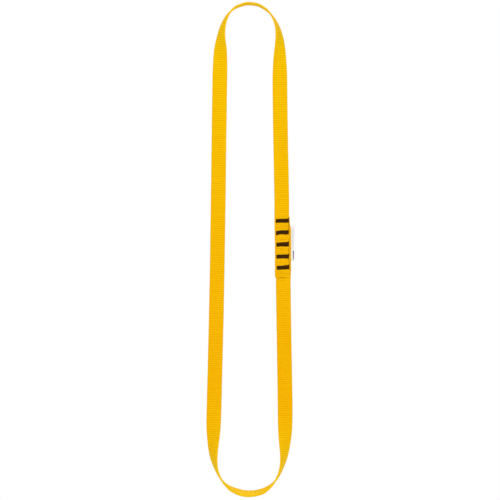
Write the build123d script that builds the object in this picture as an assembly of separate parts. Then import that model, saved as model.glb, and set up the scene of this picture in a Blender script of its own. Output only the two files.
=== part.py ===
from build123d import *
import math
import os

os.makedirs("parts", exist_ok=True)

# Endless sewn webbing sling, hanging from its top bight, in jointed lengths. Millimetres.
# +X right, +Z up, front is -Y. The flat faces of the two strands look along -Y and +Y.
# Origin: the bearing point, on the inner face at the crown of the top bight.

# --- webbing ---------------------------------------------------------------
WEB_W = 16.5            # width
WEB_T = 1.9             # thickness
WEB_EDGE_R = 0.7        # rounding of the woven edges

# --- joints ----------------------------------------------------------------
SWING_R = 8.5           # round end where a strand swings in its own plane
SWING_ROOM_R = SWING_R + 0.3
PIVOT_GAP = 0.25
TOP_PIVOT_R = 1.7       # round end where the top bight meets a shoulder
TOP_PIVOT_ROOM_R = TOP_PIVOT_R + PIVOT_GAP
BOTTOM_PIVOT_R = 2.9    # the same at the bottom bight, where the band leans
BOTTOM_PIVOT_ROOM_R = BOTTOM_PIVOT_R + PIVOT_GAP
CUTTER_LENGTH = 60      # joint cylinders, longer than the webbing is wide
ROUND_END_SPARE = 1     # stock beyond a round end, before it is rounded

FOLD_TIP = 2.25         # from a fold's axis to the wedge tip of the length it joins
FOLD_HALF_ANGLE = 30.0  # half angle of that tip, so a fold reaches 150 degrees
FOLD_ROOM_HALF = 6.0    # reach of the cleared space in Y, and past the axis in Z
FOLD_ROOM_SIDE = 15     # its reach to each side in X

SEAM_GAP = 0.3          # between the two halves of the left middle length

# --- splice in the right strand --------------------------------------------
PLY_GAP = 0.1                     # room between the two plies
PLY_Y = WEB_T / 2 + PLY_GAP / 2   # from the sling's plane to each ply's middle
PLY_FACE_Y = PLY_Y + WEB_T / 2    # and to its outer face
SPLICE_TOP = -241.9               # end of the rear ply
SPLICE_BOTTOM = -312.0            # end of the front ply
REAR_PLY_X = 39.35                # a little to the right of the front ply
FRONT_PLY_X = 37.05
FRONT_PLY_DRIFT = 0.55            # rightward drift of the front ply down to its end

# --- bar tacks -------------------------------------------------------------
TACK_Z = [-247.2, -260.5, -274.1, -287.8, -300.4]
TACK_X0, TACK_X1 = 30.3, 45.2
TACK_W = TACK_X1 - TACK_X0
TACK_H = 3.9            # along the webbing
TACK_T = 0.8            # thread standing on the face
TACK_CORNER_R = 0.6
LEG_R = 0.45            # bundles of stitches through the webbing
LEG_START_Y = 0.02      # from the sling's plane to a leg's inner end
LEG_OVERLAP = 0.05      # how far a leg passes the middle of the pad's thickness
LEG_LENGTH = PLY_FACE_Y - LEG_START_Y + TACK_T / 2 + LEG_OVERLAP
LEG_HOLE_R = 0.5
LEG_HOLE_EXTRA = 1.6    # hole length beyond the leg's
LEG_HOLE_TURN = 37      # turns a hole's seam line away from the leg's
LEG_ROWS = (-1.35, 1.35)
LEG_COLS = 5
LEG_INSET_LEFT, LEG_INSET_RIGHT = 1.9, 1.2   # tack ends to the outer columns
LEG_SPREAD = TACK_W - LEG_INSET_LEFT - LEG_INSET_RIGHT

# --- label -----------------------------------------------------------------
LABEL_TOP, LABEL_BOTTOM = -252.9, -292.9
LABEL_H = LABEL_TOP - LABEL_BOTTOM
LABEL_Z = (LABEL_TOP + LABEL_BOTTOM) / 2
LABEL_T = 0.34
LABEL_GAP = 0.02        # between the rear ply's back and the label
LABEL_Y = PLY_FACE_Y + LABEL_GAP + LABEL_T / 2
TAB_X0, TAB_X1 = 41.0, 47.4   # the sewn edge, caught under the bar tacks
TAB_ROOM = 0.1          # added to its width and height for the space round it
TAB_ROOM_T = 0.04       # added to its thickness
HINGE_X = 48.1
FLAG_W = 18.0           # from the hinge to the free edge
FLAG_TURN = 78.0        # degrees the flag hangs turned backward

WEB_COLOUR = (0.95, 0.72, 0.05)
THREAD_COLOUR = (0.2, 0.1, 0.08)
LABEL_COLOUR = (0.93, 0.92, 0.88)

# Middle line of the webbing, clockwise from the crown of the top bight:
# x, z, twist in degrees (0 = edge-on, the inner face looks at the loop's middle;
# 90 = flat in the sling's plane), and the name of a station on it.
# TR, TL, BR, BL end the bights; RS, LS, RB, LB end the strands; F1 to F3 are folds.
LOOP = [
    # top bight, right half
    (0.30, 0.96, 1.1, ""), (5.15, 0.51, 1.2, ""), (9.85, -0.50, 1.5, "TR"),
    # top right shoulder
    (15.98, -3.61, 2.5, ""), (21.40, -7.70, 4.2, ""), (25.91, -12.84, 7.0, ""),
    (29.41, -18.79, 10.8, ""), (31.95, -25.24, 16.4, ""), (33.61, -31.91, 23.5, ""),
    (34.52, -38.65, 31.1, ""), (34.90, -45.45, 39.5, ""), (34.97, -52.29, 48.2, ""),
    (34.94, -59.13, 56.6, ""), (34.92, -65.97, 64.8, ""), (34.92, -72.81, 73.1, ""),
    (34.93, -79.66, 80.7, ""), (34.95, -86.50, 86.3, "RS"),
    # right strand
    (35.80, -156.00, 90.0, "F1R"), (37.10, -222.00, 90.0, ""), (38.66, -312.00, 90.0, ""),
    (38.91, -328.00, 90.0, "F2R"), (40.02, -399.00, 90.0, "F3R"), (40.69, -440.00, 90.0, ""),
    (40.97, -469.60, 88.5, "RB"),
    # bottom right shoulder
    (40.96, -476.34, 82.8, ""), (40.91, -483.11, 74.9, ""), (40.83, -489.85, 65.4, ""),
    (40.69, -496.62, 57.2, ""), (40.50, -503.35, 46.9, ""), (40.18, -510.11, 37.1, ""),
    (39.52, -516.82, 28.5, ""), (38.32, -523.49, 20.4, ""), (36.53, -530.08, 13.6, ""),
    (34.09, -536.43, 9.5, ""), (30.87, -542.39, 6.7, ""), (26.75, -547.65, 2.0, ""),
    (21.67, -552.05, -4.5, ""), (15.87, -555.60, -10.0, "BR"),
    # bottom bight
    (9.87, -557.55, -12.3, ""), (3.56, -558.62, -13.5, ""), (-2.88, -558.66, -14.2, ""),
    (-9.26, -557.70, -14.0, ""), (-15.40, -555.60, -11.5, "BL"),
    # bottom left shoulder
    (-21.52, -552.68, -6.3, ""), (-26.94, -548.55, 1.3, ""), (-31.40, -543.46, 5.1, ""),
    (-34.91, -537.55, 7.5, ""), (-37.54, -531.16, 11.2, ""), (-39.41, -524.47, 19.0, ""),
    (-40.58, -517.67, 27.7, ""), (-41.15, -510.83, 36.0, ""), (-41.27, -503.95, 45.1, ""),
    (-41.17, -497.09, 54.1, ""), (-41.02, -490.21, 64.5, ""), (-40.86, -483.34, 74.7, ""),
    (-40.68, -476.45, 82.7, ""), (-40.50, -469.60, 88.5, "LB"),
    # left strand
    (-39.74, -440.00, 90.0, ""), (-38.71, -399.00, 90.0, "F3L"),
    (-37.15, -328.00, 90.0, "F2L"), (-35.75, -242.00, 90.0, "SEAM"),
    (-34.65, -156.00, 90.0, "F1L"), (-33.65, -86.50, 89.5, "LS"),
    # top left shoulder
    (-33.53, -79.64, 87.1, ""), (-33.41, -72.75, 83.3, ""), (-33.29, -65.84, 76.8, ""),
    (-33.16, -58.96, 68.6, ""), (-33.02, -52.07, 60.3, ""), (-32.85, -45.19, 47.6, ""),
    (-32.45, -38.32, 35.2, ""), (-31.63, -31.56, 26.6, ""), (-30.20, -24.91, 20.3, ""),
    (-27.95, -18.42, 14.4, ""), (-24.75, -12.35, 9.4, ""), (-20.43, -7.05, 5.5, ""),
    (-14.96, -2.96, 2.8, ""), (-8.55, -0.50, 1.5, "TL"),
    # top bight, left half
    (-4.14, 0.67, 1.2, ""),
]
ROW = {name: row for row, (_, _, _, name) in enumerate(LOOP) if name}


# --- building blocks -------------------------------------------------------
def station(name):
    """x and z of a named station."""
    return LOOP[ROW[name]][:2]


def frame_at(row):
    """Point, direction along the webbing, and width direction at a row of LOOP."""
    x0, z0 = LOOP[row - 1][:2]
    x1, z1, twist, _ = LOOP[row]
    x2, z2 = LOOP[(row + 1) % len(LOOP)][:2]
    before = math.hypot(x1 - x0, z1 - z0)
    after = math.hypot(x2 - x1, z2 - z1)
    # the nearer neighbour's chord weighs more
    along_x = (x1 - x0) / before * after + (x2 - x1) / after * before
    along_z = (z1 - z0) / before * after + (z2 - z1) / after * before
    norm = math.hypot(along_x, along_z)
    along_x, along_z = along_x / norm, along_z / norm
    cos, sin = math.cos(math.radians(twist)), math.sin(math.radians(twist))
    return Vector(x1, 0, z1), Vector(along_x, 0, along_z), Vector(-along_z * sin, cos, along_x * sin)


def web_profile():
    return RectangleRounded(WEB_W, WEB_T, WEB_EDGE_R)


def section(row):
    """The webbing cut across at a row of LOOP."""
    point, along, width = frame_at(row)
    return Plane(origin=point, x_dir=width, z_dir=along) * web_profile()


def flat_section(x, y, z):
    """Webbing lying flat in the sling's plane, cut across at height z."""
    return Plane(origin=(x, y, z), x_dir=(1, 0, 0), z_dir=(0, 0, -1)) * web_profile()


def webbing(start, end, ruled=False):
    """The webbing between two named stations, clockwise."""
    first, last = ROW[start], ROW[end]
    if last < first:
        last += len(LOOP)
    faces = [section(row % len(LOOP)) for row in range(first, last + 1)]
    return loft(faces, ruled=ruled or len(faces) == 2)


def flat_webbing(points):
    """Flat webbing through x, y, z points, straight from each to the next."""
    spans = [loft([flat_section(*upper), flat_section(*lower)], ruled=True)
             for upper, lower in zip(points, points[1:])]
    run = spans[0]
    for span in spans[1:]:
        run += span
    return run


def pivot_cylinder(name, radius):
    """A cylinder along Y at a station."""
    x, z = station(name)
    return Pos(x, 0, z) * Rot(90, 0, 0) * Cylinder(radius, CUTTER_LENGTH)


def round_end(name, radius, back):
    """The rounded end that turns about Y at a station; back = against the loop's direction."""
    _, along, _ = frame_at(ROW[name])
    bar = extrude(section(ROW[name]), amount=radius + ROUND_END_SPARE, dir=along * (-1 if back else 1))
    return bar & pivot_cylinder(name, radius)


def fold_end(name, up):
    """The rounded end that turns about X at a fold."""
    x, z = station(name)
    bar = extrude(flat_section(x, 0, z), amount=WEB_T, dir=(0, 0, 1 if up else -1))
    return bar & (Pos(x, 0, z) * Rot(0, 90, 0) * Cylinder(WEB_T / 2, CUTTER_LENGTH))


def fold_room(name, up):
    """Space to clear round a fold, leaving a wedge tip; up = the cut length lies above it."""
    x, z = station(name)
    half = FOLD_ROOM_HALF
    side = 1 if up else -1
    rise = half / math.tan(math.radians(FOLD_HALF_ANGLE))
    outline = [
        (-half, -side * half),
        (half, -side * half),
        (half, side * (FOLD_TIP + rise)),
        (0, side * FOLD_TIP),
        (-half, side * (FOLD_TIP + rise)),
    ]
    plane = Plane(origin=(x, 0, z), x_dir=(0, 1, 0), z_dir=(1, 0, 0))
    return extrude(plane * Polygon(*outline, align=None), amount=FOLD_ROOM_SIDE, both=True)


def save(name, shape, colour=WEB_COLOUR):
    solids = shape.solids()
    piece = solids[0] if len(solids) == 1 else Compound(children=list(solids))
    piece.label = name
    piece.color = Color(*colour)
    export_step(piece, f"parts/{name}.step")


# --- top bight and its shoulders -------------------------------------------
def top_bight():
    band = webbing("TL", "TR")
    for name in ("TR", "TL"):
        band -= pivot_cylinder(name, TOP_PIVOT_ROOM_R)
    return band


def top_right_shoulder():
    band = webbing("TR", "RS", ruled=True) + round_end("TR", TOP_PIVOT_R, back=True)
    return band - pivot_cylinder("RS", SWING_ROOM_R)


def top_left_shoulder():
    band = webbing("LS", "TL", ruled=True) + round_end("TL", TOP_PIVOT_R, back=False)
    return band - pivot_cylinder("LS", SWING_ROOM_R)


# --- right strand ----------------------------------------------------------
def right_upper():
    band = webbing("RS", "F1R") + round_end("RS", SWING_R, back=True)
    return band - fold_room("F1R", up=True)


def right_lower():
    band = webbing("F2R", "F3R") + fold_end("F2R", up=True)
    return band - fold_room("F3R", up=True)


def right_foot():
    band = webbing("F3R", "RB") + fold_end("F3R", up=True)
    return band - pivot_cylinder("RB", SWING_ROOM_R)


def front_ply():
    """Runs down from fold F1R, steps forward and ends below the last bar tack."""
    x, z = station("F1R")
    return flat_webbing([
        (x, 0, z),
        (36.9, 0, -218.0),
        (FRONT_PLY_X, -PLY_Y, -237.0),
        (FRONT_PLY_X + FRONT_PLY_DRIFT, -PLY_Y, SPLICE_BOTTOM),
    ]) + fold_end("F1R", up=True)


def rear_ply():
    """Runs up from fold F2R, steps back, and its end leans left behind the front ply."""
    x, z = station("F2R")
    return flat_webbing([
        (x, 0, z),
        (38.93, 0, -326.0),
        (39.15, PLY_Y, -314.0),
        (REAR_PLY_X, PLY_Y, -305.0),
        (REAR_PLY_X, PLY_Y, -257.0),
        (37.95, PLY_Y, -249.5),
        (37.85, PLY_Y, SPLICE_TOP),
    ]) - fold_room("F2R", up=True)


def label_tab(extra=0.0, extra_t=0.0):
    """The label's sewn edge, on the rear ply's back, or with extras the room round it."""
    box = Box(TAB_X1 - TAB_X0 + extra, LABEL_T + extra_t, LABEL_H + extra)
    return Pos((TAB_X0 + TAB_X1) / 2, LABEL_Y, LABEL_Z) * box


def label_flag():
    """The label's free part, turned about its hinge at the sewn edge."""
    flag = Pos(FLAG_W / 2, 0, 0) * Box(FLAG_W, LABEL_T, LABEL_H) + Cylinder(LABEL_T / 2, LABEL_H)
    return Pos(HINGE_X, LABEL_Y, LABEL_Z) * Rot(0, 0, FLAG_TURN) * flag


def leg_places(z):
    """x and z of each stitch bundle in the tack at height z."""
    columns = [TACK_X0 + LEG_INSET_LEFT + LEG_SPREAD * col / (LEG_COLS - 1)
               for col in range(LEG_COLS)]
    return [(x, z + row) for row in LEG_ROWS for x in columns]


def tack_thread(z, side):
    """Thread pad on one outer face with its legs; side -1 = front, 1 = back."""
    place = Pos((TACK_X0 + TACK_X1) / 2, side * (PLY_FACE_Y + TACK_T / 2), z)
    pad = place * Box(TACK_W, TACK_T, TACK_H)
    pad = fillet(pad.edges().filter_by(Axis.Y), TACK_CORNER_R)
    if side > 0:
        pad -= label_tab(TAB_ROOM, TAB_ROOM_T)
    leg_y = side * (LEG_START_Y + LEG_LENGTH / 2)
    for leg_x, leg_z in leg_places(z):
        pad += Pos(leg_x, leg_y, leg_z) * Rot(90, 0, 0) * Cylinder(LEG_R, LEG_LENGTH)
    return pad


def leg_holes(z, side):
    drill = Rot(90, 0, 0) * Rot(0, 0, LEG_HOLE_TURN) * Cylinder(
        LEG_HOLE_R, LEG_LENGTH + LEG_HOLE_EXTRA)
    return [Pos(leg_x, side * LEG_LENGTH / 2, leg_z) * drill for leg_x, leg_z in leg_places(z)]


def save_splice():
    """Both plies, the label's sewn edge, and the bar tacks through them."""
    front, rear, tab = front_ply(), rear_ply(), label_tab()
    for number, z in enumerate(TACK_Z, start=1):
        for side, kind in ((-1, "needle"), (1, "bobbin")):
            save(f"bar_tack_{number}_{kind}_thread", tack_thread(z, side), THREAD_COLOUR)
            for hole in leg_holes(z, side):
                if side < 0:
                    front -= hole
                else:
                    rear -= hole
                    tab -= hole
    save("splice_front_ply", front)
    save("splice_rear_ply", rear)
    save("label_sewn_edge", tab, LABEL_COLOUR)


# --- bottom bight and its shoulders ----------------------------------------
def bottom_right_shoulder():
    band = webbing("RB", "BR") + round_end("RB", SWING_R, back=True)
    return band - pivot_cylinder("BR", BOTTOM_PIVOT_ROOM_R)


def bottom_bight():
    band = webbing("BR", "BL") + round_end("BR", BOTTOM_PIVOT_R, back=True)
    return band - pivot_cylinder("BL", BOTTOM_PIVOT_ROOM_R)


def bottom_left_shoulder():
    band = webbing("BL", "LB") + round_end("BL", BOTTOM_PIVOT_R, back=True)
    return band - pivot_cylinder("LB", SWING_ROOM_R)


# --- left strand -----------------------------------------------------------
def left_foot():
    band = webbing("LB", "F3L") + round_end("LB", SWING_R, back=True)
    return band - fold_room("F3L", up=False)


def left_lower():
    band = webbing("F3L", "F2L") + fold_end("F3L", up=False)
    return band - fold_room("F2L", up=False)


def left_middle_lower():
    """From fold F2L up to the seam, where the two halves meet end to end."""
    x, z = station("F2L")
    seam_x, seam_z = station("SEAM")
    band = flat_webbing([(x, 0, z), (seam_x, 0, seam_z - SEAM_GAP / 2)])
    return band + fold_end("F2L", up=False)


def left_middle_upper():
    x, z = station("F1L")
    seam_x, seam_z = station("SEAM")
    band = flat_webbing([(seam_x, 0, seam_z + SEAM_GAP / 2), (x, 0, z)])
    return band + fold_end("F1L", up=True)


def left_upper():
    band = webbing("F1L", "LS") + round_end("LS", SWING_R, back=False)
    return band - fold_room("F1L", up=True)


for build in (
    top_bight, top_right_shoulder, top_left_shoulder,
    right_upper, right_lower, right_foot,
    bottom_right_shoulder, bottom_bight, bottom_left_shoulder,
    left_foot, left_lower, left_middle_lower, left_middle_upper, left_upper,
):
    save(f"{build.__name__}_webbing", build())
save_splice()
save("label_flag", label_flag(), LABEL_COLOUR)
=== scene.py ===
"""A closed loop of yellow ribbed webbing with a stitched splice and a folded white label.

The loop hangs in the XZ plane with its top near z = 0: x is right, z is up and -y is the
front, where the camera stands. The two long strands face front and back, and the webbing
twists so that it faces up and down at both ends. Its ends overlap on the right strand,
joined by five bar tacks.
"""
import math

import bpy
import numpy as np
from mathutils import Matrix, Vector


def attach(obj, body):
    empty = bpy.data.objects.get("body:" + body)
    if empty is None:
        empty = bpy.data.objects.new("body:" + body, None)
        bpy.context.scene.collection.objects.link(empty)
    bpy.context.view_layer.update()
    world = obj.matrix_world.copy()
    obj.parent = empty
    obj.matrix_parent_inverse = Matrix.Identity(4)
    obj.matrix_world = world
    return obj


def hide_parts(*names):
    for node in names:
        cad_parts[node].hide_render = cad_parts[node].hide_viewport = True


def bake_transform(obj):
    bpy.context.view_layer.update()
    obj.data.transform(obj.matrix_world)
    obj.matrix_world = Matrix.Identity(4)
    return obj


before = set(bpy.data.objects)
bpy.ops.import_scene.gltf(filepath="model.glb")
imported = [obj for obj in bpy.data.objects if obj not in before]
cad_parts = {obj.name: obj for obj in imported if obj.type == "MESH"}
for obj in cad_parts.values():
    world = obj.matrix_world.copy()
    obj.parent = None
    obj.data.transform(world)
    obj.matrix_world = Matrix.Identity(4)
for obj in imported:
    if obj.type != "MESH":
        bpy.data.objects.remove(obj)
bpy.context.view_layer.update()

MM = 0.001
rng = np.random.default_rng(7)

# ------------------------------------------------------------------ sizes
WEB_WIDTH, WEB_THICK = 16.85, 2.05
HALF_WIDTH, HALF_THICK = WEB_WIDTH / 2, WEB_THICK / 2
RIB_PITCH = 2.57                     # along the webbing
ROW_STEP = RIB_PITCH / 8             # mesh rows
FACE_COLS, EDGE_COLS = 40, 6         # mesh columns on each face and round each edge
PLY_Y = 1.03                         # each spliced ply's offset from the loop's plane
PLY_FACE_Y = PLY_Y + HALF_THICK      # outer face of either ply
SPLICE_TOP, SPLICE_BOTTOM = -241.9, -312.0
SEAM_HALF_GAP = 0.015
PUCKER_HALF_WIDTH = 8.25

LABEL_HINGE_X = 48.1
LABEL_SEWN_X = 41.2                  # the sewn edge under the tacks
LABEL_TOP, LABEL_BOTTOM = -252.9, -292.9
LABEL_ANGLE = math.radians(78.0)     # the flag's turn towards the back
LABEL_FLAG = 17.6                    # flag length

# Middle line of the webbing, clockwise from the top: x, z, twist in degrees and, on some
# rows, the name of a station.
LOOP = [
    (0.30, 0.96, 1.1), (5.15, 0.51, 1.2), (9.85, -0.50, 1.5, "top right"),
    (15.98, -3.61, 2.5), (21.40, -7.70, 4.2), (25.91, -12.84, 7.0), (29.41, -18.79, 10.8),
    (31.95, -25.24, 16.4), (33.61, -31.91, 23.5), (34.52, -38.65, 31.1), (34.90, -45.45, 39.5),
    (34.97, -52.29, 48.2), (34.94, -59.13, 56.6), (34.92, -65.97, 64.8), (34.92, -72.81, 73.1),
    (34.93, -79.66, 80.7), (34.95, -86.50, 86.3, "right shoulder"),
    (35.80, -156.00, 90.0, "fold 1 right"), (37.10, -222.00, 90.0), (38.66, -312.00, 90.0),
    (38.91, -328.00, 90.0, "fold 2 right"), (40.02, -399.00, 90.0, "fold 3 right"),
    (40.69, -440.00, 90.0), (40.97, -469.60, 88.5, "right foot"),
    (40.96, -476.34, 82.8), (40.91, -483.11, 74.9), (40.83, -489.85, 65.4),
    (40.69, -496.62, 57.2), (40.50, -503.35, 46.9), (40.18, -510.11, 37.1),
    (39.52, -516.82, 28.5), (38.32, -523.49, 20.4), (36.53, -530.08, 13.6),
    (34.09, -536.43, 9.5), (30.87, -542.39, 6.7), (26.75, -547.65, 2.0),
    (21.67, -552.05, -4.5), (15.87, -555.60, -10.0, "bottom right"),
    (9.87, -557.55, -12.3), (3.56, -558.62, -13.5), (-2.88, -558.66, -14.2),
    (-9.26, -557.70, -14.0), (-15.40, -555.60, -11.5, "bottom left"),
    (-21.52, -552.68, -6.3), (-26.94, -548.55, 1.3), (-31.40, -543.46, 5.1),
    (-34.91, -537.55, 7.5), (-37.54, -531.16, 11.2), (-39.41, -524.47, 19.0),
    (-40.58, -517.67, 27.7), (-41.15, -510.83, 36.0), (-41.27, -503.95, 45.1),
    (-41.17, -497.09, 54.1), (-41.02, -490.21, 64.5), (-40.86, -483.34, 74.7),
    (-40.68, -476.45, 82.7), (-40.50, -469.60, 88.5, "left foot"), (-39.74, -440.00, 90.0),
    (-38.71, -399.00, 90.0, "fold 3 left"), (-37.15, -328.00, 90.0, "fold 2 left"),
    (-35.75, -242.00, 90.0, "seam"), (-34.65, -156.00, 90.0, "fold 1 left"),
    (-33.65, -86.50, 89.5, "left shoulder"), (-33.53, -79.64, 87.1), (-33.41, -72.75, 83.3),
    (-33.29, -65.84, 76.8), (-33.16, -58.96, 68.6), (-33.02, -52.07, 60.3),
    (-32.85, -45.19, 47.6), (-32.45, -38.32, 35.2), (-31.63, -31.56, 26.6),
    (-30.20, -24.91, 20.3), (-27.95, -18.42, 14.4), (-24.75, -12.35, 9.4),
    (-20.43, -7.05, 5.5), (-14.96, -2.96, 2.8), (-8.55, -0.50, 1.5, "top left"),
    (-4.14, 0.67, 1.2),
]

# Bar tacks from the top down; each is outlined by rows of x, top z, bottom z.
TACKS = [
    [(30.26, -245.53, -249.76), (31.63, -244.96, -249.53), (35.06, -244.84, -249.30),
     (39.63, -244.73, -249.30), (43.05, -244.50, -249.41), (45.34, -243.82, -249.07)],
    [(30.38, -259.35, -263.12), (31.63, -258.89, -263.23), (35.06, -258.21, -262.55),
     (37.34, -257.98, -262.43), (40.20, -258.21, -262.66), (43.05, -257.52, -263.12),
     (45.22, -256.95, -262.43)],
    [(30.83, -272.37, -276.82), (32.78, -272.14, -276.71), (35.06, -271.80, -276.36),
     (39.63, -271.57, -276.25), (43.05, -271.11, -276.36), (45.34, -270.08, -276.02)],
    [(30.83, -286.30, -289.95), (32.78, -285.84, -290.07), (37.34, -285.73, -289.95),
     (41.91, -285.50, -290.07), (45.34, -284.59, -290.41)],
    [(31.29, -298.98, -303.09), (32.78, -298.52, -303.09), (37.34, -298.40, -302.74),
     (41.91, -297.72, -302.29), (45.79, -297.03, -302.29)],
]
TACK_MIDDLES = [sum(r[1] + r[2] for r in tack) / (2 * len(tack)) for tack in TACKS]
TACK_PASSES = 51
TACK_THREAD_RADIUS = 0.235
# One pass of thread over a tack: fraction of its length, height as a share of its lift.
STITCH_ARC = [(0.0, -0.6), (0.012, 0.1), (0.05, 0.78), (0.22, 0.97), (0.5, 1.0),
              (0.78, 0.97), (0.95, 0.78), (0.988, 0.1), (1.0, -0.6)]
# Threads that run on between tacks at the front ply's right edge:
# start x and z, end x and z, phase of the sideways wave.
THREAD_RUNS = [
    ((44.77, -247.81), (44.88, -259.23), 0.3),
    ((44.88, -274.08), (45.22, -287.21), 1.6),
    ((45.22, -288.35), (45.34, -298.63), 2.5),
]
RUN_RADIUS = 0.13


# ------------------------------------------------------------- middle line
def pchip_slopes(x, y):
    """Slopes that keep the curve through y from overshooting."""
    h = np.diff(x)
    d = np.diff(y) / h
    slopes = np.zeros(len(x))
    for i in range(1, len(x) - 1):
        if d[i - 1] * d[i] > 0:
            before = 2 * h[i] + h[i - 1]
            after = h[i] + 2 * h[i - 1]
            slopes[i] = (before + after) / (before / d[i - 1] + after / d[i])
    return slopes


def periodic_slopes(x, y):
    """Slopes of the closed cubic spline through y, whose first and last rows agree."""
    n = len(x) - 1
    h = np.diff(x)
    d = np.diff(y) / h
    matrix, rhs = np.zeros((n, n)), np.zeros(n)
    for i in range(n):
        matrix[i, (i - 1) % n] += 1 / h[i - 1]
        matrix[i, i] += 2 / h[i - 1] + 2 / h[i]
        matrix[i, (i + 1) % n] += 1 / h[i]
        rhs[i] = 3 * (d[i - 1] / h[i - 1] + d[i] / h[i])
    slopes = np.linalg.solve(matrix, rhs)
    return np.append(slopes, slopes[0])


def hermite(x, y, slopes, at):
    i = np.clip(np.searchsorted(x, at, "right") - 1, 0, len(x) - 2)
    h = x[i + 1] - x[i]
    t = (at - x[i]) / h
    return ((2 * t**3 - 3 * t**2 + 1) * y[i] + (t**3 - 2 * t**2 + t) * h * slopes[i]
            + (-2 * t**3 + 3 * t**2) * y[i + 1] + (t**3 - t**2) * h * slopes[i + 1])


LINE_X, LINE_Z, LINE_TWIST = np.array([row[:3] for row in LOOP + LOOP[:1]], float).T
LINE_S = np.r_[0, np.cumsum(np.hypot(np.diff(LINE_X), np.diff(LINE_Z)))]
SLOPE_X = periodic_slopes(LINE_S, LINE_X)
SLOPE_Z = periodic_slopes(LINE_S, LINE_Z)
SLOPE_TWIST = pchip_slopes(LINE_S, LINE_TWIST)
TOTAL = LINE_S[-1]
STATION = {row[3]: LINE_S[i] for i, row in enumerate(LOOP) if len(row) == 4}
STATION_Z = {row[3]: row[1] for row in LOOP if len(row) == 4}


def loop_line(s):
    """x, z and twist at s mm round the loop."""
    s = np.mod(s, TOTAL)
    return (hermite(LINE_S, LINE_X, SLOPE_X, s), hermite(LINE_S, LINE_Z, SLOPE_Z, s),
            hermite(LINE_S, LINE_TWIST, SLOPE_TWIST, s))


def right_strand_s(z):
    """Distance round the loop at height z on the right strand."""
    s = np.linspace(STATION["top right"], STATION["right foot"] + 10, 4000)
    return float(np.interp(-z, -loop_line(s)[1], s))


def ease(value, start, end):
    """Smooth step from 0 at start to 1 at end; end may be the smaller."""
    t = np.clip((value - start) / (end - start), 0, 1)
    return t * t * (3 - 2 * t)


def base_path(s):
    x, z, twist = loop_line(s)
    return x, np.zeros_like(s), z, twist


def front_path(s):
    """The upper strand's end, which steps in front of the lower strand's end."""
    x, z, twist = loop_line(s)
    y = -PLY_Y * ease(z, -219, -238)
    shift = ease(z, -214, -244)
    ply_x = 37.02 + 0.55 * ease(z, -240, -280)
    return x * (1 - shift) + ply_x * shift, y, z, twist


def rear_path(s):
    x, z, twist = loop_line(s)
    y = PLY_Y * ease(z, -327, -313)
    shift = ease(z, -320, -302)
    ply_x = 39.38 - 1.5 * ease(z, -259, -248)
    return x * (1 - shift) + ply_x * shift, y, z, twist


def unit(vectors):
    return vectors / np.linalg.norm(vectors, axis=1)[:, None]


def path_frames(path, s):
    """Centres with width directions and face directions."""
    x, y, z, twist = path(s)
    step = 0.05
    xa, ya, za, _ = path(s - step)
    xb, yb, zb, _ = path(s + step)
    if path is not base_path:       # the ribs stay level where a ply is shifted sideways
        xa, xb = base_path(s - step)[0], base_path(s + step)[0]
    tangent = unit(np.stack([xb - xa, yb - ya, zb - za], 1))
    outward = unit(np.stack([-tangent[:, 2], np.zeros(len(s)), tangent[:, 0]], 1))
    cos, sin = np.cos(np.radians(twist))[:, None], np.sin(np.radians(twist))[:, None]
    back = np.array([[0.0, 1.0, 0.0]])
    width = cos * back + sin * outward
    width = unit(width - tangent * np.sum(width * tangent, 1)[:, None])
    face = np.cross(width, tangent)
    face *= np.sign(np.sum(face * (cos * outward - sin * back), 1))[:, None]
    return np.stack([x, y, z], 1), width, face


# ------------------------------------------------------------------ meshes
def grid_quads(rows, cols):
    """Quads between rows of points, each row a closed ring."""
    i = np.arange(rows - 1)[:, None] * cols
    j = np.arange(cols)[None]
    after = (j + 1) % cols
    return np.stack([i + j, i + after, i + cols + after, i + cols + j], -1).reshape(-1, 4)


def end_fans(rows, cols):
    """Triangles closing both ends on two centre points that follow the rings."""
    j = np.arange(cols)
    after = (j + 1) % cols
    centre, last = rows * cols, (rows - 1) * cols
    return np.vstack([np.stack([np.full(cols, centre), after, j], 1),
                      np.stack([np.full(cols, centre + 1), last + j, last + after], 1)])


def make_mesh(name, verts, face_sets, attributes):
    """A smooth-shaded object from points in mm; attributes hold a value per point."""
    loops = np.concatenate([np.asarray(f, np.int32).ravel() for f in face_sets])
    sizes = np.concatenate([np.full(len(f), np.shape(f)[1], np.int32) for f in face_sets])
    mesh = bpy.data.meshes.new(name)
    mesh.vertices.add(len(verts))
    mesh.vertices.foreach_set("co", np.asarray(verts * MM, np.float32).ravel())
    mesh.loops.add(len(loops))
    mesh.loops.foreach_set("vertex_index", loops)
    mesh.polygons.add(len(sizes))
    mesh.polygons.foreach_set("loop_start", np.r_[0, np.cumsum(sizes)[:-1]].astype(np.int32))
    mesh.polygons.foreach_set("use_smooth", np.ones(len(sizes), bool))
    mesh.update(calc_edges=True)
    mesh.validate()
    for key, values in attributes.items():
        values = np.asarray(values, np.float32)
        is_vector = values.ndim == 2
        layer = mesh.attributes.new(key, "FLOAT_VECTOR" if is_vector else "FLOAT", "POINT")
        layer.data.foreach_set("vector" if is_vector else "value", values.ravel())
    return link_object(name, mesh)


def link_object(name, data):
    ob = bpy.data.objects.new(name, data)
    bpy.context.scene.collection.objects.link(ob)
    return ob


# ----------------------------------------------------------------- webbing
def section_ring():
    """Round the section: width coordinate, then the normal across and through it."""
    radius = HALF_THICK * 0.92
    flat = HALF_WIDTH - radius
    points = []
    for face in (1.0, -1.0):
        across = np.linspace(-flat, flat, FACE_COLS)[::int(face)]
        points += [(q, 0.0, face) for q in across]
        for i in range(1, EDGE_COLS):
            angle = face * math.pi / 2 - math.pi * i / EDGE_COLS
            edge = face * flat + radius * math.cos(angle)
            points.append((edge, math.cos(angle), math.sin(angle)))
    return np.array(points)


RING = section_ring()
RING_SIZE = len(RING)


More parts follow.
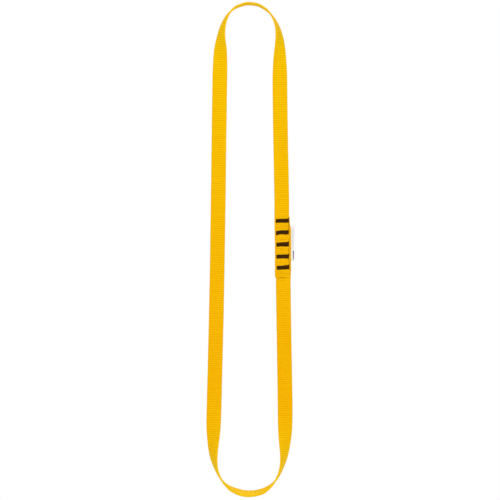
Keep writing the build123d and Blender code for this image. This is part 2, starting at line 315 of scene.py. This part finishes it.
def wander(s, phase):
    """Slow, repeatable unevenness along the loop."""
    return (np.sin(s * 0.031 + phase) + 0.7 * np.sin(s * 0.083 + 2.1 * phase)
            + 0.5 * np.sin(s * 0.191 + 3.7 * phase)) / 2.2


def rib_height(s, across, side):
    """Ribs with uneven lines and heights; those of one face lie between the other's."""
    count = (s / RIB_PITCH + 0.5 * (side < 0) + 0.018 * np.sin(across * 0.37 + 0.9)
             + 0.06 * wander(s, 1.3) + 0.010 * np.sin(across * 0.9 + s * 0.21))
    ridge = np.abs(np.sin(np.pi * count)) ** 0.8
    height = 0.21 * (1 + 0.22 * wander(s * 3.1, 0.4) + 0.06 * np.sin(across * 1.7 + s * 0.9))
    return height * (ridge - 0.58)


def webbing_tone_with_painted_light(x, z):
    """Colour blend for the material: 0 is yellow, 1 is orange."""
    down = -z
    # yellow near the top, orange down the strands, then back to yellow round the bottom crown,
    # which is painted light on the crown's upward-facing face
    tone = np.interp(down, [20, 90, 250, 430, 475, 540], [0.10, 0.45, 0.70, 0.98, 0.75, 0.0])
    # warmer low on the right strand, then at the splice, where the extra orange is painted shade
    tone += 0.14 * ease(x, 10, 30) * ease(down, 330, 420) * ease(down, 520, 460)
    tone += 0.12 * ease(x, 30, 33) * ease(down, 240, 248) * ease(down, 306, 298)
    return tone


def webbing_strip(name, path, start, end, ends=("cut", "cut"), pucker=None):
    """A closed length of webbing between two distances round the loop."""
    count = max(3, int(round((end - start) / ROW_STEP)))
    rows = count + 1
    s = np.linspace(start, end, rows)
    centre, width, face = path_frames(path, s)
    along, across, normal_a, normal_b = np.broadcast_arrays(s[:, None], *RING.T[:, None])
    side = np.where(normal_b >= 0, 1.0, -1.0)       # 1 outer or front face, -1 the other
    facing = np.abs(normal_b)
    lift = rib_height(along, across, side) * facing
    # the selvedge is lower, with a scallop at each rib
    selvedge = 1.3
    edge = np.clip((np.abs(across) - (HALF_WIDTH - selvedge)) / selvedge, 0, 1)
    lift = lift * (1 - 0.35 * edge) - 0.05 * edge * facing
    scallop = 0.07 * np.abs(np.sin(np.pi * along / RIB_PITCH)) - 0.03
    lift += np.abs(normal_a) * (scallop + 0.05 * wander(along * 1.7, 2.0))
    # lengths cup very slightly across the width
    cup = 0.10 * wander(along * 0.7, 5.0) * (1 - (across / HALF_WIDTH) ** 2)
    if pucker is not None:
        lift = lift + pucker(centre[:, 2, None], across, side) * facing
    a = across + normal_a * lift
    b = HALF_THICK * normal_b + normal_b * lift + cup
    web = np.stack([along, across, side * facing], -1).reshape(-1, 3)
    web = np.vstack([web, [[start, 0, 0], [end, 0, 0]]])
    fused = np.zeros(len(web))
    # a heat-cut end is pressed thinner onto the other ply and its corners are rounded
    for at_start, kind in zip((True, False), ends):
        if kind == "heat":
            distance = (s - start if at_start else end - s)[:, None]
            corner = np.clip(1 - distance / 0.7, 0, 1)
            taper = np.clip(1 - distance / 4.0, 0, 1)
            thin = ease(distance, 2.0 if at_start else 8.0, 0)
            rest = HALF_THICK if at_start else -HALF_THICK
            b = rest + (b - rest) * (1 - 0.80 * thin) * (1 - 0.35 * corner**2.2)
            a = a * (1 - 0.05 * taper**2 - 0.018 * corner**2)
            distance = web[:, 0] - start if at_start else end - web[:, 0]
            fused = np.maximum(fused, np.clip(1 - distance / 1.1, 0, 1))
    skin = centre[:, None] + width[:, None] * a[..., None] + face[:, None] * b[..., None]
    caps = [centre[i] + face[i] * cup[i, 0] for i in (0, -1)]
    tone = webbing_tone_with_painted_light(centre[:, 0], centre[:, 2])
    tone = np.append(np.repeat(tone, RING_SIZE), tone[[0, -1]])
    strip = make_mesh(name, np.vstack([skin.reshape(-1, 3), caps]),
                      [grid_quads(rows, RING_SIZE), end_fans(rows, RING_SIZE)],
                      {"web": web, "end": fused, "tone": tone})
    mark_sharp(strip, [row for row, kind in zip((0, rows - 1), ends) if kind == "cut"])
    return strip


def mark_sharp(ob, rows):
    """Sharp edges round the given rows of a strip."""
    mesh = ob.data
    ring_of = np.zeros(len(mesh.edges) * 2, np.int32)
    mesh.edges.foreach_get("vertices", ring_of)
    ring_of = ring_of.reshape(-1, 2) // RING_SIZE
    sharp = np.zeros(len(mesh.edges), bool)
    for row in rows:
        sharp |= (ring_of == row).all(1)
    layer = (mesh.attributes.get("sharp_edge")
             or mesh.attributes.new("sharp_edge", "BOOLEAN", "EDGE"))
    layer.data.foreach_set("value", sharp)


def tack_pull(z):
    """1 at a bar tack's middle line, 0 between tacks."""
    pull = np.zeros_like(z)
    for middle in TACK_MIDDLES:
        pull = np.maximum(pull, np.exp(-(((z - middle) / 2.8) ** 4)))
    return pull


def pucker_front(z, a, side):
    """Bulges and creases between the tacks on the front ply's front face."""
    inside = ease(z, -311, -306) * ease(z, -238, -244)
    pull = tack_pull(z)
    bulge = 0.50 * (1 - pull) * (1 - 0.55 * (a / PUCKER_HALF_WIDTH) ** 2)
    crease = (0.16 * np.sin(a * 1.3 + 0.9 * np.sin(z * 0.55))
              + 0.12 * np.sin(a * 2.3 - z * 0.35 + 1.0)
              + 0.20 * np.sin(a * 0.75 + z * 0.5 + 2.0)
              + 0.22 * np.sin(z * 1.15 + a * 0.16 + 0.6))
    span = ease(np.abs(a), PUCKER_HALF_WIDTH, PUCKER_HALF_WIDTH - 1.0)
    height = inside * (bulge - 0.26 * pull * span + crease * (1 - pull))
    return np.where(side > 0, height, 0)


def pucker_rear(z, a, side):
    """The rear ply's back face: softer bulges, pressed flat under the label."""
    inside = ease(z, -313, -307) * ease(z, -243.5, -247.5)
    pull = tack_pull(z)
    bulge = 0.26 * (1 - pull) * (1 - 0.5 * (a / PUCKER_HALF_WIDTH) ** 2)
    label = (ease(a, 0.4, 1.6) * ease(z, LABEL_TOP + 1.5, LABEL_TOP + 0.3)
             * ease(z, LABEL_BOTTOM - 1.5, LABEL_BOTTOM - 0.3))
    height = inside * (bulge - 0.22 * pull + 0.05 * np.sin(a * 1.6 - z * 0.9))
    return np.where(side < 0, height * (1 - label) - 0.08 * label, 0)


def halfway(first, second):
    return (STATION[first] + STATION[second]) / 2


def add_webbing(name, station, reach, bodies, nodes, path=base_path,
                start=None, end=None, **form):
    """A strip of webbing that runs through a station; the bodies before and after it are not
    used.

    It runs from halfway to the station before to halfway to the one after, unless
    start or end says otherwise.
    """
    order = list(STATION)
    i = order.index(station)
    if start is None:
        start = halfway(order[i - 1], station)
    if end is None:
        end = halfway(station, order[i + 1])
    strip = webbing_strip("Webbing_" + name, path, start, end, **form)
    x, _, z, _ = path(STATION[station] + np.array([-reach, reach]))
    if station.startswith("fold"):      # folds are across the width, at one height
        rise = reach if station.endswith("left") else -reach
        z = STATION_Z[station] + np.array([-rise, rise])
        x = np.full(2, x.mean())
    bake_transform(strip)
    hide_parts(*nodes)
    return strip


TOP_MIDDLE = (STATION["top left"] - TOTAL + STATION["top right"]) / 2
# Clockwise: name, station, reach, bodies before and after, CAD nodes, what is special.
STRIPS = [
    ("top_right_crown", "top right", 9.5, ("top_bight", "top_right_shoulder"),
     ["top_bight_webbing", "top_right_shoulder_webbing"], dict(start=TOP_MIDDLE)),
    ("right_strand_top", "right shoulder", 30, ("top_right_shoulder", "right_upper"),
     ["right_upper_webbing"], {}),
    ("splice_front_ply", "fold 1 right", 6, ("right_upper", "splice"), ["splice_front_ply"],
     dict(path=front_path, end=right_strand_s(SPLICE_BOTTOM), ends=("cut", "heat"),
          pucker=pucker_front)),
    ("splice_rear_ply", "fold 2 right", 6, ("splice", "right_lower"),
     ["splice_rear_ply", "right_lower_webbing"],
     dict(path=rear_path, start=right_strand_s(SPLICE_TOP), ends=("heat", "cut"),
          pucker=pucker_rear)),
    ("right_strand_lower", "fold 3 right", 6, ("right_lower", "right_foot"),
     ["right_foot_webbing"], {}),
    ("right_strand_bottom", "right foot", 30, ("right_foot", "bottom_right_shoulder"),
     ["bottom_right_shoulder_webbing"], {}),
    ("bottom_right_crown", "bottom right", 14.5, ("bottom_right_shoulder", "bottom_bight"),
     ["bottom_bight_webbing"], {}),
    ("bottom_left_crown", "bottom left", 14.5, ("bottom_bight", "bottom_left_shoulder"),
     ["bottom_left_shoulder_webbing"], {}),
    ("left_strand_bottom", "left foot", 30, ("bottom_left_shoulder", "left_foot"),
     ["left_foot_webbing"], {}),
    ("left_strand_lower", "fold 3 left", 6, ("left_foot", "left_lower"),
     ["left_lower_webbing"], {}),
    ("left_strand_middle_low", "fold 2 left", 6, ("left_lower", "left_middle_below_seam"),
     ["left_middle_lower_webbing"], dict(end=STATION["seam"] - SEAM_HALF_GAP)),
    ("left_strand_middle_high", "fold 1 left", 6, ("left_middle_above_seam", "left_upper"),
     ["left_middle_upper_webbing"], dict(start=STATION["seam"] + SEAM_HALF_GAP)),
    ("left_strand_top", "left shoulder", 30, ("left_upper", "top_left_shoulder"),
     ["left_upper_webbing"], {}),
    ("top_left_crown", "top left", 9.5, ("top_left_shoulder", "top_bight"),
     ["top_left_shoulder_webbing"], dict(end=TOTAL + TOP_MIDDLE)),
]
webbings = [add_webbing(*row, **special) for *row, special in STRIPS]


# ------------------------------------------------------------------ thread
def tube(points, radius, sides=8):
    """A closed tube: points, quads, end triangles and (length, angle, 0) per point."""
    p = np.asarray(points, float)
    n = len(p)
    tangent = np.gradient(p, axis=0)
    tangent /= np.linalg.norm(tangent, axis=1)[:, None] + 1e-12
    u = np.cross(tangent, [1.0, 0.0, 0.0])
    along_x = np.linalg.norm(u, axis=1) < 0.2
    u[along_x] = np.cross(tangent[along_x], [0, 0, 1.0])
    u = unit(u)
    for i in range(1, n):
        if np.dot(u[i], u[i - 1]) < 0:
            u[i] = -u[i]
    v = np.cross(tangent, u)
    angle = np.linspace(0, 2 * np.pi, sides, endpoint=False)
    cos, sin = np.cos(angle)[None, :, None], np.sin(angle)[None, :, None]
    skin = p[:, None] + radius * (u[:, None] * cos + v[:, None] * sin)
    length = np.r_[0, np.cumsum(np.linalg.norm(np.diff(p, axis=0), axis=1))]
    thread = np.stack([np.repeat(length, sides), np.tile(angle, n), np.zeros(n * sides)], 1)
    thread = np.vstack([thread, [[0, 0, 0], [length[-1], 0, 0]]])
    verts = np.vstack([skin.reshape(-1, 3), p[:1], p[-1:]])
    return verts, grid_quads(n, sides), end_fans(n, sides), thread


def add_thread(name, tubes, *nodes):
    """Tubes joined as one object that rides on the splice."""
    verts, quads, fans, thread = zip(*tubes)
    first = np.cumsum([0] + [len(v) for v in verts])
    quads = np.vstack([q + offset for q, offset in zip(quads, first)])
    fans = np.vstack([f + offset for f, offset in zip(fans, first)])
    ob = make_mesh(name, np.vstack(verts), [quads, fans], {"thr": np.vstack(thread)})
    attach(ob, "splice")
    if nodes:
        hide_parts(*nodes)
    return ob


def tack_tube(rows, front):
    """One thread going up and down across a tack, on the front or the back of the splice."""
    xs, tops, bottoms = np.array(rows).T
    xs = xs + (0 if front else 0.1)
    inset = 0.16
    face = PLY_FACE_Y - 0.30
    x0, x1 = xs[0] + TACK_THREAD_RADIUS, xs[-1] - TACK_THREAD_RADIUS
    slant = (x1 - x0) / (TACK_PASSES - 1) * 0.5
    points = []
    for i in range(TACK_PASSES):
        x = x0 + (x1 - x0) * i / (TACK_PASSES - 1) + rng.normal(0, 0.03)
        top = np.interp(x, xs, tops) + inset + rng.normal(0, 0.06)
        bottom = np.interp(x, xs, bottoms) - inset + rng.normal(0, 0.06)
        if not front:
            top += rng.normal(0, 0.08) - 0.1
            bottom += rng.normal(0, 0.08) + 0.1
        lift = 0.30 + rng.normal(0, 0.02) + (0.05 if i % 2 else 0.0)
        begin, finish = (bottom, top) if i % 2 else (top, bottom)
        for q, height in STITCH_ARC:
            z = begin + (finish - begin) * q
            y = face + lift * height
            if not front and LABEL_BOTTOM < z < LABEL_TOP:      # over the label
                y += 0.36 * ease(x, LABEL_SEWN_X - 0.5, LABEL_SEWN_X)
            points.append((x + slant * (q - 0.5), -y if front else y, z))
    return tube(points, TACK_THREAD_RADIUS)


def run_tube(start, end, phase):
    """A slack thread standing off the front ply, its ends tucked in."""
    t = np.linspace(0, 1, 18)
    x = start[0] + (end[0] - start[0]) * t + 0.25 * np.sin(t * 7 + phase)
    z = start[1] + (end[1] - start[1]) * t
    tuck = 0.45 * (t < 0.06) + 0.45 * (t > 0.94)
    y = -PLY_FACE_Y - 0.14 - 0.52 * np.sin(np.pi * t) ** 0.7 + tuck
    return tube(np.stack([x, y, z], 1), RUN_RADIUS, sides=6)


threads = []
for number, outline in enumerate(TACKS, start=1):
    for kind in ("needle", "bobbin"):       # needle thread in front, bobbin thread behind
        threads.append(add_thread(f"Bar_tack_{number}_{kind}_thread",
                                  [tack_tube(outline, kind == "needle")],
                                  f"bar_tack_{number}_{kind}_thread"))
threads.append(add_thread("Thread_runs_between_tacks", [run_tube(*run) for run in THREAD_RUNS]))


# ------------------------------------------------------------------- label
def label_line():
    """Middle line of the tape seen from above (x, y): sewn part, turn, then flag."""
    sewn_y = PLY_FACE_Y + 0.21
    turn_x = LABEL_HINGE_X - 0.55
    radius = 0.7
    sewn = [(x, sewn_y) for x in np.linspace(LABEL_SEWN_X, turn_x, 16)]
    turn = [(turn_x + radius * math.sin(angle), sewn_y + radius * (1 - math.cos(angle)) * 0.9)
            for angle in LABEL_ANGLE * np.linspace(0, 1, 9)[1:-1]]
    reach = np.linspace(0.3, LABEL_FLAG - 0.9, 44)[:, None]
    flag = turn[-1] + reach * [math.cos(LABEL_ANGLE), math.sin(LABEL_ANGLE)]
    return np.vstack([sewn, turn, flag])


def label_mesh():
    """A folded woven tape: two leaves from the splice out to a soft fold at the free edge."""
    line = label_line()
    length = np.r_[0, np.cumsum(np.linalg.norm(np.diff(line, axis=0), axis=1))]
    tangent = unit(np.gradient(line, axis=0))
    normal = np.stack([tangent[:, 1], -tangent[:, 0]], 1)
    total = length[-1]
    half_leaf = 0.085
    spread = ease(length, 7.2, 15.2) * (1 - ease(length, total - 3.5, total))
    gap = 0.095 + 0.20 * spread             # half the distance between the leaves
    bow = 0.25 * np.sin(np.clip((length - 6.4) / (total - 6.4), 0, 1) * math.pi)
    centre = line + normal * bow[:, None]

    def skin(half, sign, side, turns, wrap):
        """Out along one leaf, round the fold and back: points, then (length, side)."""
        out = centre + sign * normal * half[:, None]
        back = centre - sign * normal * half[:, None]
        angle = np.linspace(sign * math.pi / 2, -sign * math.pi / 2, turns)[1:-1]
        fold = centre[-1] + half[-1] * (tangent[-1] * np.cos(angle)[:, None]
                                        + normal[-1] * np.sin(angle)[:, None])
        leaf = sign * side
        lengths = np.r_[length, total + wrap * (1.57 - angle), length[::-1]]
        sides = np.r_[np.full(len(line), leaf), np.where(sign * angle > 0, leaf, -leaf),
                      np.full(len(line), -leaf)]
        return np.vstack([out, fold, back[::-1]]), np.stack([lengths, sides], 1)

    outer_half = gap + half_leaf
    outer, outer_at = skin(outer_half, sign=1, side=1.0, turns=9, wrap=outer_half[-1])
    inner, inner_at = skin(gap - half_leaf, sign=-1, side=0.5, turns=7, wrap=0)
    ring = np.vstack([outer, inner])
    ring_length, ring_side = np.vstack([outer_at, inner_at]).T
    n = len(ring)

    levels = np.linspace(LABEL_TOP, LABEL_BOTTOM, 61)
    flag_normal = np.array([math.sin(LABEL_ANGLE), -math.cos(LABEL_ANGLE)])
    free = ease(ring_length, 7, 19)
    verts, lab = [], []
    for z in levels:
        t = (z - LABEL_TOP) / (LABEL_BOTTOM - LABEL_TOP)
        wave = (0.22 * np.sin(t * 5.2 + 0.6) + 0.12 * np.sin(t * 11 + ring_length * 0.3)) * free
        ragged = 0.05 * np.sin(ring_length * 2.2) * (abs(t - 0.5) > 0.49)
        verts.append(np.column_stack([ring + flag_normal * wave[:, None], z + ragged]))
        lab.append(np.stack([ring_length, np.full(n, z - LABEL_BOTTOM), ring_side], 1))

    # top and bottom edges: triangles between the outer and inner skins
    m = len(outer)
    inner_index = n - 1 - np.linspace(0, len(inner) - 1, m).round().astype(int)
    edge_faces = []
    for base, order in ((0, -1), ((len(levels) - 1) * n, 1)):
        for a in range(m - 1):
            c, d = inner_index[a + 1], inner_index[a]
            corners = [(a, c, a + 1)]
            if c != d:
                corners.append((a, d, c))
            edge_faces += [[base + v for v in triangle[::order]] for triangle in corners]
    return make_mesh("Label", np.vstack(verts),
                     [grid_quads(len(levels), n), np.array(edge_faces)],
                     {"lab": np.vstack(lab)})


label = label_mesh()
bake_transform(label)
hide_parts("label_sewn_edge", "label_flag")


# --------------------------------------------------------------- materials
class Shader:
    """A material with one Principled BSDF and short calls for the nodes that feed it."""

    def __init__(self, name):
        self.material = bpy.data.materials.new(name)
        self.material.use_nodes = True
        self.tree = self.material.node_tree
        self.tree.nodes.clear()
        output = self.node("OutputMaterial")
        self.bsdf = self.node("BsdfPrincipled")
        self.put(output.inputs[0], self.bsdf.outputs[0])

    def node(self, kind):
        return self.tree.nodes.new("ShaderNode" + kind)

    def put(self, socket, value):
        if isinstance(value, bpy.types.NodeSocket):
            self.tree.links.new(value, socket)
        else:
            socket.default_value = value

    def math(self, operation, *values):
        node = self.node("Math")
        node.operation = operation
        for i, value in enumerate(values):
            self.put(node.inputs[i], value)
        return node.outputs[0]

    def times(self, a, b):
        return self.math("MULTIPLY", a, b)

    def plus(self, a, b):
        return self.math("ADD", a, b)

    def ridges(self, count, power):
        """A rounded ridge for each whole step of count."""
        sine = self.math("SINE", self.times(count, math.pi))
        return self.math("POWER", self.math("ABSOLUTE", sine), power)

    def attribute(self, name, output):
        node = self.node("Attribute")
        node.attribute_name = name
        return node.outputs[output]

    def components(self, name):
        node = self.node("SeparateXYZ")
        self.put(node.inputs[0], self.attribute(name, "Vector"))
        return node.outputs

    def noise(self, x, y, z, scale, detail, roughness):
        vector = self.node("CombineXYZ")
        for socket, value in zip(vector.inputs, (x, y, z)):
            self.put(socket, value)
        node = self.node("TexNoise")
        self.put(node.inputs["Vector"], vector.outputs[0])
        node.inputs["Scale"].default_value = scale
        node.inputs["Detail"].default_value = detail
        node.inputs["Roughness"].default_value = roughness
        return node.outputs[0]

    def mix(self, factor, a, b):
        node = self.node("Mix")
        node.data_type = "RGBA"
        for i, value in ((0, factor), (6, a), (7, b)):
            self.put(node.inputs[i], value)
        return node.outputs[2]

    def tint(self, base, mask, strength, colour):
        return self.mix(self.times(mask, strength), base, colour)

    def ramp(self, value, start, end, low=0.0, high=1.0):
        node = self.node("MapRange")
        node.clamp = True
        node.interpolation_type = "SMOOTHSTEP"
        for i, setting in enumerate((value, start, end, low, high)):
            self.put(node.inputs[i], setting)
        return node.outputs[0]

    def bump(self, height, distance, strength):
        node = self.node("Bump")
        node.inputs["Strength"].default_value = strength
        node.inputs["Distance"].default_value = distance
        self.put(node.inputs["Height"], height)
        return node.outputs[0]

    def finish(self, **settings):
        """Sets BSDF inputs, named with underscores for spaces."""
        for name, value in settings.items():
            self.put(self.bsdf.inputs[name.replace("_", " ")], value)
        return self.material


def webbing_material():
    g = Shader("Woven_yellow_webbing")
    s, a, side = g.components("web")
    yarn_pitch = 0.66
    column = g.math("DIVIDE", a, yarn_pitch)
    odd = g.math("MODULO", g.math("ABSOLUTE", g.math("FLOOR", column)), 2.0)
    other_face = g.math("LESS_THAN", side, 0.0)
    yarn = g.ridges(column, power=0.6)
    pick = g.plus(g.math("DIVIDE", s, RIB_PITCH), g.times(other_face, 0.5))
    # each yarn shows as short grains, staggered from one column to the next
    grain = g.ridges(g.plus(pick, g.times(odd, 0.5)), power=0.55)
    rib = g.ridges(pick, power=0.75)
    # filaments lie slightly askew in each yarn
    filament = g.noise(g.plus(g.times(s, 0.6), g.times(column, 0.35)), g.times(a, 9.0),
                       g.times(side, 3.0), scale=1.6, detail=3.0, roughness=0.6)
    fuzz = g.noise(s, a, side, scale=2.4, detail=4.0, roughness=0.65)
    slow = g.noise(g.times(s, 0.02), g.times(a, 0.12), side,
                   scale=1.0, detail=3.0, roughness=0.5)
    band = g.noise(g.times(s, 0.36), g.times(a, 0.02), side,
                   scale=1.0, detail=1.0, roughness=0.5)
    height = g.plus(g.times(yarn, 0.45), g.times(grain, 0.55))
    height = g.plus(height, g.times(filament, 0.30))
    # from yellow to orange along the loop, then a tint for each part of the weave; the darker
    # tints in the ribs' valleys and in the grooves between yarns and grains are painted shade
    base = g.mix(g.attribute("tone", "Fac"),
                 (0.900, 0.640, 0.0010, 1), (0.885, 0.430, 0.0010, 1))
    for value, start, end, strength, colour in (
            (slow, 0.35, 0.65, 0.5, (0.870, 0.470, 0.0009, 1)),
            # painted shade: ribs, yarns and grains darker in their valleys and grooves
            (rib, 0.62, 0.05, 0.80, (0.640, 0.235, 0.0006, 1)),
            (yarn, 0.5, 0.0, 0.38, (0.620, 0.240, 0.0006, 1)),
            (grain, 0.55, 0.05, 0.30, (0.700, 0.300, 0.0007, 1)),
            (filament, 0.35, 0.75, 0.26, (0.960, 0.600, 0.006, 1)),
            (band, 0.42, 0.62, 0.14, (0.740, 0.320, 0.001, 1)),
            (fuzz, 0.58, 0.80, 0.10, (0.960, 0.640, 0.020, 1))):
        base = g.tint(base, g.ramp(value, start, end), strength, colour)
    # heat-cut ends are fused darker and glossier
    fused = g.attribute("end", "Fac")
    base = g.mix(g.ramp(fused, 0.45, 0.95, high=0.08), base, (0.620, 0.270, 0.0030, 1))
    roughness = g.math("SUBTRACT", g.plus(0.56, g.times(filament, 0.22)), g.times(fused, 0.25))
    return g.finish(
        Base_Color=base, Roughness=roughness,
        Normal=g.bump(height, distance=0.00016, strength=0.9),
        Sheen_Weight=0.08, Sheen_Roughness=0.5, Sheen_Tint=(1.0, 0.62, 0.01, 1), IOR=1.15,
        Specular_IOR_Level=0.5, Specular_Tint=(1.0, 0.62, 0.05, 1))


def thread_material():
    g = Shader("Dark_brown_thread")
    length, angle, _ = g.components("thr")
    twist_pitch = 0.62
    turns = g.plus(g.times(length, 2 * math.pi / twist_pitch), g.times(angle, 2.0))
    twist = g.math("SINE", turns)
    fibre = g.noise(g.times(length, 0.8), g.times(angle, 2.0), 0.0,
                    scale=3.0, detail=3.0, roughness=0.6)
    height = g.plus(g.times(twist, 0.5), g.times(fibre, 0.6))
    # darker in the twist's grooves and lighter on its crests: painted shade
    base = g.mix(g.ramp(twist, -0.6, 0.8), (0.020, 0.0060, 0.0006, 1), (0.056, 0.019, 0.0015, 1))
    base = g.tint(base, fibre, strength=0.35, colour=(0.085, 0.030, 0.002, 1))
    return g.finish(
        Base_Color=base, Roughness=0.48,
        Normal=g.bump(height, distance=0.00008, strength=0.8),
        Sheen_Weight=0.10, Sheen_Roughness=0.4, Sheen_Tint=(1.0, 0.6, 0.3, 1),
        Specular_IOR_Level=0.10, Specular_Tint=(1.0, 0.7, 0.4, 1))


def label_material():
    g = Shader("White_woven_label")
    u, v, side = g.components("lab")      # mm from the sewn edge, mm above the bottom

    def box(left, right, low, high):
        across = g.times(g.math("GREATER_THAN", u, left), g.math("LESS_THAN", u, right))
        up = g.times(g.math("GREATER_THAN", v, low), g.math("LESS_THAN", v, high))
        return g.times(across, up)

    # fine cross weave, with its pitches in mm
    weave_v = g.math("SINE", g.times(v, 2 * math.pi / 0.30))
    weave_u = g.math("SINE", g.times(u, 2 * math.pi / 0.22))
    mottle = g.noise(u, v, side, scale=1.3, detail=3.0, roughness=0.6)
    height = g.plus(g.times(weave_v, 0.5), g.times(weave_u, 0.3))
    base = g.mix(mottle, (0.98, 0.975, 0.95, 1), (0.93, 0.92, 0.89, 1))
    # plain marks on the outer skin of both leaves: a block, a small bar and faint lines
    outside = g.math("GREATER_THAN", g.math("ABSOLUTE", side), 0.8)
    block = g.times(box(left=13.2, right=22.6, low=1.7, high=11.5), outside)
    bar = g.times(box(left=9.6, right=12.4, low=0.5, high=1.2), outside)
    dark = g.math("MAXIMUM", block, bar)
    line_pitch, line_share = 2.1, 0.34
    lines = g.math("LESS_THAN", g.math("FRACT", g.math("DIVIDE", v, line_pitch)), line_share)
    faint = g.times(g.times(box(left=8.0, right=19.5, low=15.0, high=36.5), lines), outside)
    base = g.tint(base, faint, strength=0.42, colour=(0.30, 0.30, 0.31, 1))
    base = g.tint(base, dark, strength=0.94, colour=(0.030, 0.030, 0.034, 1))
    return g.finish(
        Base_Color=base, Roughness=0.62,
        Normal=g.bump(height, distance=0.00004, strength=0.7),
        Sheen_Weight=0.2, Specular_IOR_Level=0.3)


web_material = webbing_material()
for group, material in ((webbings, web_material), (threads, thread_material()),
                        ([label], label_material())):
    for ob in group:
        ob.data.materials.append(material)
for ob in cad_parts.values():       # CAD nodes still shown are never left plain
    if not ob.hide_render:
        ob.data.materials.clear()
        ob.data.materials.append(web_material)


# ------------------------------------------------------- stage, in metres
def add_floor(radius, z, corners):
    mesh = bpy.data.meshes.new("Floor")
    angles = np.linspace(0, 2 * math.pi, corners, endpoint=False)
    rim = [(radius * math.cos(angle), radius * math.sin(angle), z) for angle in angles]
    mesh.from_pydata(rim, [], [tuple(range(corners))])
    floor = link_object("Floor", mesh)
    material = bpy.data.materials.new("Pale_floor")
    material.use_nodes = True
    inputs = material.node_tree.nodes["Principled BSDF"].inputs
    inputs["Base Color"].default_value = (0.93, 0.93, 0.93, 1)
    inputs["Roughness"].default_value = 0.9
    inputs["Specular IOR Level"].default_value = 0.1
    mesh.materials.append(material)


def add_world(light_strength, seen_strength):
    """White all round, with one strength as light and another as the camera sees it."""
    world = bpy.data.worlds.new("Soft_white")
    bpy.context.scene.world = world
    world.use_nodes = True
    nodes, links = world.node_tree.nodes, world.node_tree.links
    nodes.clear()
    output = nodes.new("ShaderNodeOutputWorld")
    mix = nodes.new("ShaderNodeMixShader")
    light_path = nodes.new("ShaderNodeLightPath")
    links.new(light_path.outputs["Is Camera Ray"], mix.inputs[0])
    for i, strength in enumerate((light_strength, seen_strength), start=1):
        background = nodes.new("ShaderNodeBackground")
        background.inputs[0].default_value = (1, 1, 1, 1)
        background.inputs[1].default_value = strength
        links.new(background.outputs[0], mix.inputs[i])
    links.new(mix.outputs[0], output.inputs[0])


def add_light(name, location, size, power):
    light = bpy.data.lights.new(name, "AREA")
    light.shape = "DISK"
    light.size = size
    light.energy = power
    ob = link_object(name, light)
    target = Vector((0, 0, -0.28))
    ob.location = location
    ob.rotation_mode = "QUATERNION"
    ob.rotation_quaternion = (target - Vector(location)).to_track_quat("-Z", "Y")


def add_camera(location, lens):
    data = bpy.data.cameras.new("Camera")
    camera = link_object("Camera", data)
    data.sensor_width = 36
    data.lens = lens
    data.clip_start = 0.05
    data.clip_end = 30
    camera.location = location
    camera.rotation_euler = (math.radians(90), 0, 0)
    bpy.context.scene.camera = camera


add_floor(radius=0.95, z=-0.720, corners=96)
add_world(light_strength=0.72, seen_strength=1.0)
add_light("Key_light", location=(-0.7, -1.6, 1.3), size=1.1, power=18.5)
add_light("Fill_light", location=(1.5, -1.2, 0.1), size=1.2, power=7)
add_light("Back_light", location=(0.3, 1.8, 0.9), size=1.2, power=13)
add_camera(location=(0.0008, -1.8272, -0.2804), lens=115.2)
bpy.context.scene.view_settings.view_transform = "Standard"
bpy.context.scene.view_settings.look = "None"
